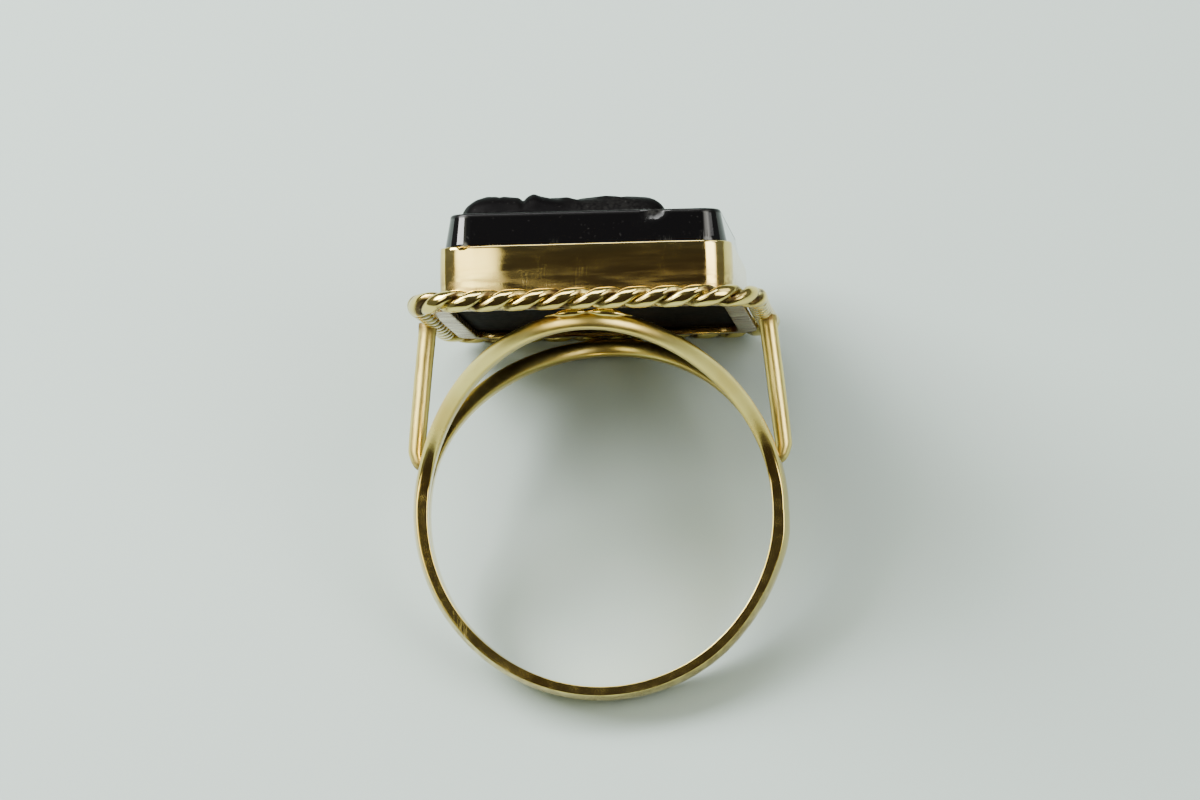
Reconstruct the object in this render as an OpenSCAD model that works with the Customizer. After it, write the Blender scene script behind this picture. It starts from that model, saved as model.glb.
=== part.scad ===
// A gold ring with a carved black stone, lying on its side.
// In the ring's own frame X runs across, Y from the band to the head and Z along the finger.
// The origin is the centre of the finger hole.

/* [Band] */
// Radius of the finger hole
finger_r = 8.7; // [7.5:0.05:11]
// Width of the band along the finger
band_w = 2.4; // [1.8:0.1:3.6]
// Thickness of the band at its lowest point
band_t = 0.7; // [0.55:0.05:1.2]
// Thickness that the band gains by its two sides
band_gain = 0.12; // [0:0.01:0.3]
// Thickness at the two rims of the half-round band
rim_t = 0.4; // [0.25:0.05:0.5]
// Height above the hole's centre at which the band forks
fork_y = 1.9; // [1:0.1:3.5]

/* [Arches and struts] */
// Radial thickness of the arches
arch_t = 0.88; // [0.6:0.02:1.1]
// Width of the arches along the finger
arch_w = 1.2; // [0.8:0.05:1.6]
// Chamfer along the arches' outer edges
arch_chamfer = 0.18; // [0.05:0.01:0.3]
// Distance from each end of the base frame in to the crest of the arch below it
arch_inset = 0.55; // [0.1:0.05:3]
// Depth by which an arch's foot runs down into the band
arch_root = 0.6; // [0.4:0.05:0.9]
// Diameter of the side struts
strut_d = 0.9; // [0.6:0.05:1.2]
// Angle above the hole's centre at which a strut's foot stands
strut_foot_a = 15.5; // [14:0.5:20]
// How far a strut's foot is let into the fork
strut_sink = 0.22; // [0.2:0.01:0.4]
// How far a strut's top stands out past the middle of the twisted wire
strut_out = 0.3; // [0:0.05:0.5]
// Length of the solder saddle on each arch
saddle_l = 5.2; // [3:0.2:8]

/* [Bezel] */
// Height of the base frame's underside above the top of the finger hole
head_rise = 1.05; // [0.95:0.05:3]
// Thickness of the base frame
frame_t = 0.35; // [0.25:0.05:0.8]
// Width of the base frame outside the bezel wall
frame_out = 0.5; // [0.2:0.05:1]
// Width of the ledge that carries the stone
ledge_w = 0.25; // [0.15:0.05:0.8]
// Height of the bezel wall above the base frame
wall_h = 2.9; // [1.5:0.1:4]
// Thickness of the bezel wall
wall_t = 0.22; // [0.15:0.01:0.5]

/* [Twisted wire] */
// Diameter of the twisted wire over its two strands
rope_d = 1.12; // [0.8:0.02:1.5]
// Length in which a strand goes once round
rope_lay = 3.05; // [2.4:0.05:4.5]
// Height of the wire's middle above the base frame's underside
rope_rise = 0.4; // [0.3:0.05:0.8]
// How far its corners stand out past the middle of its runs
rope_bow = 0.08; // [0:0.01:0.2]

/* [Stone] */
// Width of the stone's foot across the ring
stone_w = 14; // [11:0.1:17]
// Length of the stone's foot along the finger
stone_l = 18; // [15:0.1:22]
// Radius of the stone's upright corners
corner_r = 1.35; // [1:0.1:2.5]
// Height of the stone from its foot to its flat top
stone_h = 4.5; // [3.6:0.02:6]
// How far the sides lean in above the bezel
taper = 0.28; // [0:0.02:0.5]
// Rounding of the stone's top edge
edge_r = 0.15; // [0.05:0.01:0.3]
// Height of the carved bust above the flat top
relief_h = 1.15; // [0.6:0.05:1.6]

/* [Fits] */
// Gap left between pieces that meet
fit_gap = 0.03; // [0.01:0.01:0.06]

/* [Hidden] */

// Columns of the bust's table
V = 0;
BACK = 1;
FRONT = 2;
RISE = 3;
// The bust, from its foot to the crown of the hair. V is a share of the flat top's half
// length, BACK and FRONT are shares of its half width there, RISE is a share of relief_h.
BUST = [
    [-0.945, -0.82, 0.48, 0.00],
    [-0.925, -0.90, 0.56, 0.62],
    [-0.865, -0.93, 0.61, 0.76],
    [-0.760, -0.90, 0.59, 0.80],
    [-0.640, -0.80, 0.49, 0.78],
    [-0.540, -0.63, 0.34, 0.72],
    [-0.450, -0.50, 0.22, 0.66],
    [-0.360, -0.44, 0.16, 0.64],
    [-0.270, -0.44, 0.20, 0.70],
    [-0.215, -0.48, 0.37, 0.80],
    [-0.165, -0.54, 0.47, 0.86],
    [-0.120, -0.58, 0.49, 0.90],
    [-0.080, -0.62, 0.46, 0.92],
    [-0.040, -0.65, 0.51, 0.94],
    [0.000, -0.68, 0.49, 0.95],
    [0.040, -0.70, 0.54, 0.96],
    [0.095, -0.73, 0.51, 0.97],
    [0.140, -0.75, 0.64, 0.98],
    [0.225, -0.76, 0.57, 1.00],
    [0.330, -0.77, 0.47, 1.00],
    [0.400, -0.77, 0.50, 1.00],
    [0.540, -0.74, 0.47, 1.00],
    [0.670, -0.66, 0.41, 0.98],
    [0.765, -0.53, 0.32, 0.93],
    [0.835, -0.35, 0.20, 0.82],
    [0.880, -0.17, 0.07, 0.60],
    [0.895, -0.08, 0.00, 0.00],
];
// Grid steps across the bust and in each margin beside it
BUST_STEPS = 22;
MARGIN_STEPS = 2;
// Grid steps between table rows, and from the bust's ends to the edges of the flat top
ROW_STEPS = 2;
RIM_STEPS = 4;
// Sections along an arch, and sections along one full turn of the twisted wire
ARCH_STEPS = 30;
LAY_STEPS = 10;
// Points round each strand, its size as a share of the wire's radius, and its slanted stretch
STRAND_SIDES = 6;
STRAND_SHARE = 0.56;
STRAND_STRETCH = 1.4;
// Depth by which soldered shapes run into each other
weld = 0.3;
$fn = 64;

band_r = finger_r + band_t + band_gain;
crown = band_t - rim_t;
dome_r = (pow(band_w / 2, 2) + pow(crown, 2)) / (2 * crown);
rim_r = finger_r + rim_t;
head_y = finger_r + head_rise;

wall_w = stone_w + 2 * (fit_gap + wall_t);
wall_l = stone_l + 2 * (fit_gap + wall_t);
wall_corner = corner_r + fit_gap + wall_t;
frame_w = wall_w + 2 * frame_out;
frame_l = wall_l + 2 * frame_out;
frame_corner = wall_corner + frame_out;
arch_z = frame_l / 2 - arch_inset;
seat_y = head_y + frame_t + fit_gap;
wall_top = head_y + frame_t + wall_h;

rope_r = rope_d / 2;
rope_y = head_y + rope_rise;
rope_off = fit_gap + rope_r;
rope_x = frame_w / 2 + rope_off;
rope_z = frame_l / 2 + rope_off;
rope_corner = frame_corner + rope_off;

// Lying on its side, the ring rests on the far run of the twisted wire and the band's far rim
rest_y = rope_y + rim_r;
rest_z = rope_z + rope_bow - band_w / 2;
rest_tilt = atan2(rest_z, rest_y) + asin(rope_r / norm([rest_y, rest_z]));

module laid() {
    rotate([rest_tilt, 0, 0]) children();
}

// The head's own frame: X across, Y along the finger to the far side, Z up out of the finger
module on_head() {
    laid() rotate([-90, 0, 0]) children();
}

// The band and what is soldered to it

// Where an arch begins, inside the top of the band
arch_start_a = asin((fork_y - arch_root) / finger_r);

function arch_share(a) = (a - arch_start_a) / (90 - arch_start_a);
function arch_path_z(a) = arch_w / 2 + (arch_z - arch_w / 2) * (1 - cos(180 * arch_share(a))) / 2;
function arch_climb(a) = atan(
    (arch_z - arch_w / 2) * sin(180 * arch_share(a)) * 90 / (90 - arch_start_a) / (finger_r + arch_t / 2)
);
// Near its feet an arch thins down to the band
function arch_thick(a) = let(feet = min(1, 2 * arch_share(a)))
    band_t + band_gain * 0.5 + (arch_t - band_t - band_gain * 0.5) * feet;

arch_section = [
    [-weld, -arch_w / 2],
    [-weld, arch_w / 2],
    [arch_t - arch_chamfer, arch_w / 2],
    [arch_t, arch_w / 2 - arch_chamfer],
    [arch_t, -arch_w / 2 + arch_chamfer],
    [arch_t - arch_chamfer, -arch_w / 2],
];

// One section of an arch at angle a, square to the arch's path
function arch_ring(a) = let(
    half = a <= 90 ? a : 180 - a,
    out = [cos(a), sin(a), 0],
    climb = arch_climb(half) * (a <= 90 ? 1 : -1),
    side = [sin(a) * sin(climb), -cos(a) * sin(climb), cos(climb)],
    middle = [0, 0, arch_path_z(half)],
    thick = arch_thick(half) / arch_t
) [for (p = arch_section) middle + out * (finger_r + p[0] * (p[0] > 0 ? thick : 1)) + side * p[1]];

function flat(lists) = [for (one = lists) for (item = one) item];

// Quads between neighbouring rings of the same number of points
function skin(rings, sides) = [
    for (i = [0:rings - 2]) for (j = [0:sides - 1])
        [i * sides + j, (i + 1) * sides + j, (i + 1) * sides + (j + 1) % sides, i * sides + (j + 1) % sides]
];

module arch() {
    sides = len(arch_section);
    rings = ARCH_STEPS + 1;
    points = flat([
        for (i = [0:ARCH_STEPS]) arch_ring(arch_start_a + (180 - 2 * arch_start_a) * i / ARCH_STEPS)
    ]);
    caps = [
        [for (j = [0:sides - 1]) j],
        [for (j = [sides - 1:-1:0]) (rings - 1) * sides + j],
    ];
    polyhedron(points, concat(skin(rings, sides), caps));
}

module band() {
    difference() {
        translate([0, band_gain, 0]) intersection() {
            rotate_extrude() translate([band_r - dome_r, 0]) circle(dome_r);
            cylinder(r = band_r + 1, h = band_w, center = true);
        }
        translate([-2 * band_r, fork_y, -band_w]) cube([4 * band_r, 2 * band_r, 2 * band_w]);
    }
}

strut_foot_r = band_r + strut_d / 2 - strut_sink;
strut_foot = [strut_foot_r * cos(strut_foot_a), strut_foot_r * sin(strut_foot_a)];
strut_top = [rope_x + strut_out, rope_y - rope_r - fit_gap];
strut_lean = atan2(strut_foot[0] - strut_top[0], strut_top[1] - strut_foot[1]);

module strut() {
    difference() {
        translate(strut_foot) {
            rotate([0, 0, strut_lean]) rotate([-90, 0, 0]) cylinder(d = strut_d, h = rope_y);
            sphere(d = strut_d);
        }
        translate([0, strut_top[1], -strut_d]) cube([2 * rope_x, rope_y, 2 * strut_d]);
    }
}

// The solder between an arch's crest and the base frame
module saddle() {
    top = head_y - fit_gap;
    foot = finger_r + arch_t / 2;
    slope = top - foot;
    translate([0, 0, arch_z]) linear_extrude(arch_w * 0.7, center = true)
        polygon([
            [-saddle_l / 2, foot],
            [saddle_l / 2, foot],
            [saddle_l / 2 - slope, top],
            [slope - saddle_l / 2, top],
        ]);
}

module shank() {
    color("#d8c27e") laid() difference() {
        union() {
            band();
            for (far = [0, 1]) mirror([0, 0, far]) {
                arch();
                saddle();
            }
            for (left = [0, 1]) mirror([left, 0, 0]) strut();
        }
        cylinder(r = finger_r, h = 4 * arch_z, center = true, $fn = 180);
    }
}

// The setting

module rounded_sheet(w, l, r, h) {
    linear_extrude(h) {
        square([w - 2 * r, l], center = true);
        square([w, l - 2 * r], center = true);
        for (x = [-1, 1]) for (y = [-1, 1]) translate([x * (w / 2 - r), y * (l / 2 - r)]) circle(r);
    }
}

module bezel() {
    pocket_w = stone_w + 2 * fit_gap;
    pocket_l = stone_l + 2 * fit_gap;
    pocket_corner = corner_r + fit_gap;
    past = 1;
    color("#cdb066") on_head() difference() {
        union() {
            translate([0, 0, head_y]) rounded_sheet(frame_w, frame_l, frame_corner, frame_t);
            translate([0, 0, head_y]) rounded_sheet(wall_w, wall_l, wall_corner, frame_t + wall_h);
        }
        translate([0, 0, head_y - past]) rounded_sheet(
            pocket_w - 2 * ledge_w, pocket_l - 2 * ledge_w, pocket_corner - ledge_w, wall_h
        );
        translate([0, 0, head_y + frame_t]) rounded_sheet(pocket_w, pocket_l, pocket_corner, wall_h + past);
    }
}

// The twisted wire

// A closed rounded rectangle walked by its length s: each leg is a straight run and a corner
rope_legs = [
    for (k = [0:3]) let(across = k % 2 == 0)
        2 * (across ? rope_x : rope_z) - 2 * rope_corner
];
corner_len = PI * rope_corner / 2;
rope_len = rope_legs[0] + rope_legs[1] + rope_legs[2] + rope_legs[3] + 4 * corner_len;

// Place and turn of the wire's middle, k legs on and s along the leg from the last corner's end
function leg_turn(k, s) = 90 * k + 90 * max(0, s - rope_legs[k]) / corner_len;
function leg_place(k, s) = let(
    dirs = [[1, 0], [0, 1], [-1, 0], [0, -1]],
    run = min(s, rope_legs[k]),
    turn = leg_turn(k, s),
    half = [rope_x - rope_corner, rope_z - rope_corner],
    bow = rope_bow * pow(2 * run / rope_legs[k] - 1, 2),
    starts = [[-half[0], -half[1]], [half[0], -half[1]], [half[0], half[1]], [-half[0], half[1]]]
) starts[k] + dirs[k] * run + (rope_corner + bow) * [sin(turn), -cos(turn)];
function leg_at(s, k = 0) = s < rope_legs[k] + corner_len || k == 3
    ? [k, s]
    : leg_at(s - rope_legs[k] - corner_len, k + 1);

rope_turns = round(rope_len / rope_lay);
rope_rings = rope_turns * LAY_STEPS;

// The wire's section is two ovals that overlap a little, so that its strands are one solid.
// They are wider round the wire than outward, because the strands are cut at a slant.
strand_out = rope_r * STRAND_SHARE;
strand_round = strand_out * STRAND_STRETCH;
strand_off = rope_r - strand_out;
strand_turn = acos(-strand_off / strand_out);
rope_section = [
    for (side = [1, -1]) for (k = [0:STRAND_SIDES - 1])
        let(turn = strand_turn * (2 * k / STRAND_SIDES - 1))
            side * [strand_off + strand_out * cos(turn), strand_round * sin(turn)]
];

function rope_ring(i) = let(
    leg = leg_at(rope_len * i / rope_rings),
    place = leg_place(leg[0], leg[1]),
    turn = leg_turn(leg[0], leg[1]),
    out = [sin(turn), -cos(turn), 0],
    twist = 360 * i / LAY_STEPS
) [
    for (p = rope_section) [place[0], place[1], rope_y]
        + out * (p[0] * cos(twist) + p[1] * sin(twist))
        + [0, 0, p[0] * sin(twist) - p[1] * cos(twist)]
];

module rope_border() {
    sides = len(rope_section);
    last = rope_rings - 1;
    points = flat([for (i = [0:last]) rope_ring(i)]);
    seam = [
        for (j = [0:sides - 1]) let(next = (j + 1) % sides)
            [last * sides + j, j, next, last * sides + next]
    ];
    color("#e0cd8e") on_head() polyhedron(points, concat(skin(rope_rings, sides), seam));
}

// The carved stone

top_w = stone_w - 2 * (taper + edge_r);
top_l = stone_l - 2 * (taper + edge_r);
top_r = corner_r - taper - edge_r;
top_z = seat_y + stone_h;

// Smooth value between table rows i and i + 1
function between(table, i, c, t) = let(
    a = table[max(0, i - 1)][c],
    b = table[i][c],
    d = table[i + 1][c],
    e = table[min(len(table) - 1, i + 2)][c]
) b + t * (d - a) / 2 + t * t * (a - 2.5 * b + 2 * d - e / 2) + t * t * t * (1.5 * (b - d) + (e - a) / 2);

// Rows of the top's grid, with the table's columns: finer steps of the table, and plain rows
// from the bust's two ends to the edges of the flat top
bust_rows = [
    for (i = [0:len(BUST) - 2]) for (s = [0:ROW_STEPS - 1]) let(t = s / ROW_STEPS) [
        BUST[i][V] + t * (BUST[i + 1][V] - BUST[i][V]),
        between(BUST, i, BACK, t),
        between(BUST, i, FRONT, t),
        max(0, between(BUST, i, RISE, t)),
    ]
];
foot_row = BUST[0];
crown_row = BUST[len(BUST) - 1];
foot_rows = [
    for (s = [0:RIM_STEPS - 1]) let(t = sin(90 * s / RIM_STEPS))
        [-1 + t * (1 + foot_row[V]), foot_row[BACK], foot_row[FRONT], 0]
];
crown_rows = [
    for (s = [RIM_STEPS:-1:0]) let(t = sin(90 * s / RIM_STEPS))
        [1 - t * (1 - crown_row[V]), crown_row[BACK], crown_row[FRONT], 0]
];
top_rows = concat(foot_rows, bust_rows, crown_rows);

// Half width of the flat top at place v
function top_half(v) = let(over = max(0, abs(v) - (top_l / 2 - top_r)))
    top_w / 2 - top_r + sqrt(max(0, pow(top_r, 2) - pow(over, 2)));

// The carved surface across one row, full in the middle and steep at both edges
function swell(t) = sqrt(max(0, 1 - pow(t, 4)));
function row_points(row) = let(
    v = row[V] * top_l / 2,
    half = top_half(v),
    back = row[BACK] * half,
    front = row[FRONT] * half
) concat(
    [for (s = [0:MARGIN_STEPS - 1]) [-half + (back + half) * s / MARGIN_STEPS, v, top_z]],
    [
        for (s = [0:BUST_STEPS]) let(t = sin(90 * (2 * s / BUST_STEPS - 1)))
            [(back * (1 - t) + front * (1 + t)) / 2, v, top_z + row[RISE] * relief_h * swell(t)]
    ],
    [for (s = [1:MARGIN_STEPS]) [front + (half - front) * s / MARGIN_STEPS, v, top_z]]
);

// The stone's outline, offset outward from the edge of the flat top and set at height z
function rim_point(p, out, z) = let(
    limit = [top_w / 2 - top_r, top_l / 2 - top_r],
    middle = [max(-limit[0], min(limit[0], p[0])), max(-limit[1], min(limit[1], p[1]))],
    away = [p[0], p[1]] - middle,
    place = middle + away * (1 + out / top_r)
) [place[0], place[1], z];

module cameo() {
    across = BUST_STEPS + 2 * MARGIN_STEPS + 1;
    rows = len(top_rows);
    grid = flat([for (row = top_rows) row_points(row)]);
    // Grid points along the edge of the flat top, once round
    edge = concat(
        [for (c = [0:across - 1]) c],
        [for (r = [1:rows - 2]) r * across + across - 1],
        [for (c = [across - 1:-1:0]) (rows - 1) * across + c],
        [for (r = [rows - 2:-1:1]) r * across]
    );
    count = len(edge);
    soft = 1 - sqrt(0.5);
    levels = [
        [edge_r * (1 - soft), top_z - edge_r * soft],
        [edge_r, top_z - edge_r],
        [edge_r + taper, wall_top],
        [edge_r + taper, seat_y],
    ];
    rims = flat([for (level = levels) [for (e = edge) rim_point(grid[e], level[0], level[1])]]);
    first = len(grid);
    carved = [
        for (r = [0:rows - 2]) for (c = [0:across - 2]) let(i = r * across + c)
            [i, i + across, i + across + 1, i + 1]
    ];
    lip = [
        for (j = [0:count - 1]) let(next = (j + 1) % count)
            [edge[j], edge[next], first + next, first + j]
    ];
    sides = [
        for (l = [0:len(levels) - 2]) for (j = [0:count - 1])
            let(a = first + l * count, b = a + count, next = (j + 1) % count)
                [a + j, a + next, b + next, b + j]
    ];
    middle = first + len(levels) * count;
    foot = [
        for (j = [0:count - 1]) let(a = middle - count)
            [a + j, a + (j + 1) % count, middle]
    ];
    points = concat(grid, rims, [[0, 0, seat_y]]);
    color("#1b1a1c") on_head() polyhedron(points, concat(carved, lip, sides, foot));
}

shank();
bezel();
rope_border();
cameo();
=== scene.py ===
"""The looks of a gold ring with a carved black stone, lying on its side.

Lengths are millimetres until laid() turns them to metres. The ring's own frame has X across,
Y from the band to the head and Z along the finger, with the finger hole's centre at zero.
"""
import math

import bmesh
import bpy
import numpy as np
from mathutils import Euler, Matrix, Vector, noise


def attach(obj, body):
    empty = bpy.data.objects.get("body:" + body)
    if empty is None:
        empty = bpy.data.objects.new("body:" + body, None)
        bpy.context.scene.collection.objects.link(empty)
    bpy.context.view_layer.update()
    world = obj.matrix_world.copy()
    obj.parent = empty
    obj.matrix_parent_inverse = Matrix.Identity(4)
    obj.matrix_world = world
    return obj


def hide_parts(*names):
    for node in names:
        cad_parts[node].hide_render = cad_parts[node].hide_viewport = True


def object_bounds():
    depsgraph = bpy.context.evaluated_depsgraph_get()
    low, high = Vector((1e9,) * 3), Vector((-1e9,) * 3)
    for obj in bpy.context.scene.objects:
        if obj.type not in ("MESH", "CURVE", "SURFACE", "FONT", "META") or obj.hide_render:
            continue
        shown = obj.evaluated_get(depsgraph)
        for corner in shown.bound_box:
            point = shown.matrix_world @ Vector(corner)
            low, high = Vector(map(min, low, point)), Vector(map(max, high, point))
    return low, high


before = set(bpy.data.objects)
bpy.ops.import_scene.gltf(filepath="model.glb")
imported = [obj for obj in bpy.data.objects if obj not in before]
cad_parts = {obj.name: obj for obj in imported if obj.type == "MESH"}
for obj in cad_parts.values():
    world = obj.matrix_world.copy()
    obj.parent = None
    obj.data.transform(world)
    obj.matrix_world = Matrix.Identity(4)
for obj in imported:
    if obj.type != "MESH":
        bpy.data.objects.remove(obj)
cad_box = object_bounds()

# ---- sizes, as in the solid model ----
FINGER_R, BAND_W, BAND_GAIN, RIM_T = 8.7, 2.4, 0.12, 0.4
ARCH_T, ARCH_W, ARCH_START = 0.88, 1.2, 8.6
STONE_W, STONE_L, STONE_H, STONE_R = 14.0, 18.0, 4.5, 1.35
STONE_EDGE, STONE_TAPER = 0.15, 0.28
GAP, WALL_T, WALL_H, FRAME_T, FRAME_OUT = 0.03, 0.22, 2.9, 0.35, 0.5
HEAD_Y = FINGER_R + 1.05
ROPE_R, ROPE_LAY, ROPE_BOW, ROPE_Y = 0.56, 3.05, 0.08, HEAD_Y + 0.4
WALL_W, WALL_L, WALL_R = (v + 2 * (GAP + WALL_T) for v in (STONE_W, STONE_L, STONE_R - GAP - WALL_T))
ROPE_W, ROPE_L, ROPE_CORNER = (v + FRAME_OUT * k + (GAP + ROPE_R) * k
                               for v, k in ((WALL_W, 2), (WALL_L, 2), (WALL_R, 1)))
ARCH_Z = WALL_L / 2 + FRAME_OUT - 0.55
STRUT_R, STRUT_FOOT, STRUT_TOP = 0.45, (9.395, 2.606), (ROPE_W / 2 + 0.3, ROPE_Y - ROPE_R - GAP)
STONE_TOP_W, STONE_TOP_L, STONE_TOP_R = (v - k * (STONE_EDGE + STONE_TAPER)
                                         for v, k in ((STONE_W, 2), (STONE_L, 2), (STONE_R, 1)))
WALL_TOP = HEAD_Y + FRAME_T + WALL_H
STONE_TOP = HEAD_Y + FRAME_T + GAP + STONE_H
# The ring lies on the far run of the twisted wire and on the band's far rim
REST_RUN = (ROPE_Y + FINGER_R + RIM_T, ROPE_L / 2 + ROPE_BOW - BAND_W / 2)
REST_TILT = math.atan2(REST_RUN[1], REST_RUN[0]) + math.asin(ROPE_R / math.hypot(*REST_RUN))


def laid(x, y, z):
    """A place in the ring's own frame, in metres, as the ring lies."""
    c, s = math.cos(REST_TILT), math.sin(REST_TILT)
    return Vector((x, y * c - z * s, y * s + z * c)) * 0.001


def smooth(a, b, t):
    """0 below a, 1 above b, and a soft step between."""
    t = min(1.0, max(0.0, (t - a) / (b - a)))
    return t * t * (3 - 2 * t)


def uneven(x, y, z, scale, seed):
    """A slow, hand-made unevenness between -1 and 1."""
    return noise.noise(Vector((x / scale + seed, y / scale, z / scale)))


# ---- mesh helpers ----
def sheet(name, around, along, place, wear_and_shade=None):
    """A grid whose two ways are bent by place(u, w), welded where its edges meet."""
    bm = bmesh.new()
    bmesh.ops.create_grid(bm, x_segments=around, y_segments=along, size=0.5)
    # Marks per vertex; on the gold their red share is painted shade in creases and corners, with some
    # grime.
    marks = bm.verts.layers.float_color.new("wear_and_shade")
    for v in bm.verts:
        u, w = v.co.x + 0.5, v.co.y + 0.5
        v.co = place(u, w)
        v[marks] = wear_and_shade(u, w) if wear_and_shade else (0, 0, 0, 1)
    bmesh.ops.remove_doubles(bm, verts=bm.verts, dist=2e-7)
    bmesh.ops.recalc_face_normals(bm, faces=bm.faces)
    for f in bm.faces:
        f.smooth = True
    mesh = bpy.data.meshes.new(name)
    bm.to_mesh(mesh)
    bm.free()
    obj = bpy.data.objects.new(name, mesh)
    bpy.context.scene.collection.objects.link(obj)
    return obj


def joined(name, pieces):
    """Several meshes as one object; the pieces themselves go."""
    bm = bmesh.new()
    for piece in pieces:
        bm.from_mesh(piece.data)
        bpy.data.objects.remove(piece)
    mesh = bpy.data.meshes.new(name)
    bm.to_mesh(mesh)
    bm.free()
    obj = bpy.data.objects.new(name, mesh)
    bpy.context.scene.collection.objects.link(obj)
    return obj


def softened(points, rounds):
    """A closed line of corners with each corner cut again and again."""
    for _ in range(rounds):
        cut = []
        for i, p in enumerate(points):
            q = points[(i + 1) % len(points)]
            cut.append(tuple(a * 0.75 + b * 0.25 for a, b in zip(p, q)))
            cut.append(tuple(a * 0.25 + b * 0.75 for a, b in zip(p, q)))
        points = cut
    return points


def round_corner_walk(width, length, radius, out, t):
    """Place and outward direction at share t of the way round a rounded rectangle."""
    legs = [width - 2 * radius, length - 2 * radius] * 2
    arc = math.pi * radius / 2
    s = t % 1.0 * (sum(legs) + 4 * arc)
    k = 0
    while k < 3 and s > legs[k] + arc:
        s -= legs[k] + arc
        k += 1
    half = (width / 2 - radius, length / 2 - radius)
    start = [(-half[0], -half[1]), (half[0], -half[1]), (half[0], half[1]), (-half[0], half[1])][k]
    ahead = [(1, 0), (0, 1), (-1, 0), (0, -1)][k]
    turn = math.radians(90 * k + 90 * max(0.0, s - legs[k]) / arc)
    normal = (math.sin(turn), -math.cos(turn))
    run = min(s, legs[k])
    return tuple(start[i] + ahead[i] * run + (radius + out) * normal[i] for i in (0, 1)), normal


# ---- the finger loop ----
# Columns: along the finger from the middle of the band, and outward from the finger hole
HALF_BAND = softened([
    (0.00, 0.00), (0.60, 0.00), (1.16, 0.00), (1.20, 0.02), (1.20, 0.10), (1.20, 0.38),
    (1.19, 0.46), (1.12, 0.49), (0.90, 0.56), (0.45, 0.67), (0.00, 0.70), (-0.14, 0.60), (-0.14, 0.10),
], 2)
# Columns: along the finger from the arch's own middle, and outward
ARCH_BAR = softened([
    (-0.44, 0.00), (0.00, 0.00), (0.42, 0.00), (0.56, 0.08), (0.61, 0.24), (0.61, 0.42),
    (0.57, 0.58), (0.48, 0.73), (0.32, 0.84), (0.02, 0.89), (-0.34, 0.85), (-0.60, 0.60), (-0.58, 0.18),
], 2)


def climb(turn):
    """Degrees above the fork's level on either side, from -90 at the band to 90 at the crest."""
    return turn if turn <= 90 else (180 - turn if turn <= 270 else turn - 360)


def loop_place(far):
    """The near or the far half of the band, which leaves the other half as it climbs to the head."""
    count = len(ARCH_BAR)

    def place(u, w):
        i = int(round(u * count)) % count
        turn = 360.0 * w
        half = climb(turn)
        share = min(1.0, max(0.0, (half - ARCH_START) / (90 - ARCH_START)))
        lift = ARCH_W / 2 + (ARCH_Z - ARCH_W / 2) * (1 - math.cos(math.pi * share)) / 2
        slope = math.atan((ARCH_Z - ARCH_W / 2) * math.sin(math.pi * share) * 90
                          / (90 - ARCH_START) / (FINGER_R + ARCH_T / 2))
        if not 0 < share < 1:
            slope = 0.0
        slope *= 1 if turn <= 90 or turn > 270 else -1
        a = math.radians(turn)
        c, s = math.cos(a), math.sin(a)
        side = (s * math.sin(slope), -c * math.sin(slope), math.cos(slope))
        band, arch = HALF_BAND[i], ARCH_BAR[i]
        swap = smooth(3.0, 26.0, half)
        feet = 1 - 0.10 * (1 - smooth(8.0, 45.0, half))
        gain = BAND_GAIN * (1 + s) * min(1.0, band[1] / 0.3)
        thinned = 0.16 * smooth(0.2, 0.4, band[1]) * (1 - smooth(0.5, 0.68, band[1])) if far else 0.0
        out = (band[1] * (1 - thinned) + gain) * (1 - swap) + arch[1] * feet * swap
        off = (band[0] - ARCH_W / 2) * (1 - swap) + arch[0] * swap
        out += 0.010 * uneven(c * 9, s * 9, lift, 1.6, 3.0 + far) * min(1.0, out / 0.3)
        bent = 0.09 * math.exp(-((turn - 351) / 7.0) ** 2) - 0.06 * math.exp(-((turn - 325) / 13.0) ** 2)
        out += bent * min(1.0, out / 0.3)
        x = c * (FINGER_R + out) + side[0] * off
        y = s * (FINGER_R + out) + side[1] * off
        z = lift + side[2] * off
        return laid(x, y, -z if far else z)
    return place


def loop_wear_and_shade(u, w):
    """Painted shade with some grime in the fork, the crown of the band's lower half darker, and satin
    arches.
    """
    count = len(ARCH_BAR)
    s, out = ARCH_BAR[int(round(u * count)) % count]
    half = climb(360.0 * w)
    # Painted shade in the fork, where the arch leaves the band.
    fork_shade = 0.8 * math.exp(-((half - 15.0) / 5.0) ** 2) * (1 if s < -0.2 else 0.15)
    lower_crown_dark = 0.45 * smooth(0.40, 0.52, out) * (1 - smooth(-35.0, -5.0, half))
    return (max(fork_shade, lower_crown_dark), 0, smooth(12.0, 40.0, half), 1)


def strut(side):
    """A round rod from the fork to the twisted wire, rounded at its foot."""
    (fx, fy), (tx, ty) = STRUT_FOOT, STRUT_TOP
    run = Vector((tx - fx, ty - fy, 0))
    across = Vector((run.y, -run.x, 0)).normalized()

    def place(u, w):
        t = w ** 1.5
        r = STRUT_R
        if t < 0.06:
            r *= math.sqrt(max(0.0, 1 - (1 - t / 0.06) ** 2))
        r *= 1 - 0.10 * (1 - smooth(0.03, 0.3, t))
        r *= 1 + 0.08 * smooth(0.90, 0.975, t) - 0.4 * smooth(0.975, 1.0, t)
        if t >= 0.999:
            r = 0
        t = -0.028 + 1.098 * min(t, 0.998) / 0.998
        a = 2 * math.pi * u
        p = Vector((fx, fy, 0)) + run * t + across * r * math.cos(a) + Vector((0, 0, r * math.sin(a)))
        p.x += 0.012 * uneven(p.x, p.y, p.z, 1.3, 9.0) - 0.30 * (1 - smooth(-0.03, 0.12, t))
        return laid(side * p.x, p.y, p.z)
    return place


def strut_wear(u, w):
    """Dark solder at the foot and at the top, satin all along."""
    return (0.9 * (1 - smooth(0.0, 0.25, w)) + 0.9 * smooth(0.93, 0.97, w), 0, 1, 1)


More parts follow.
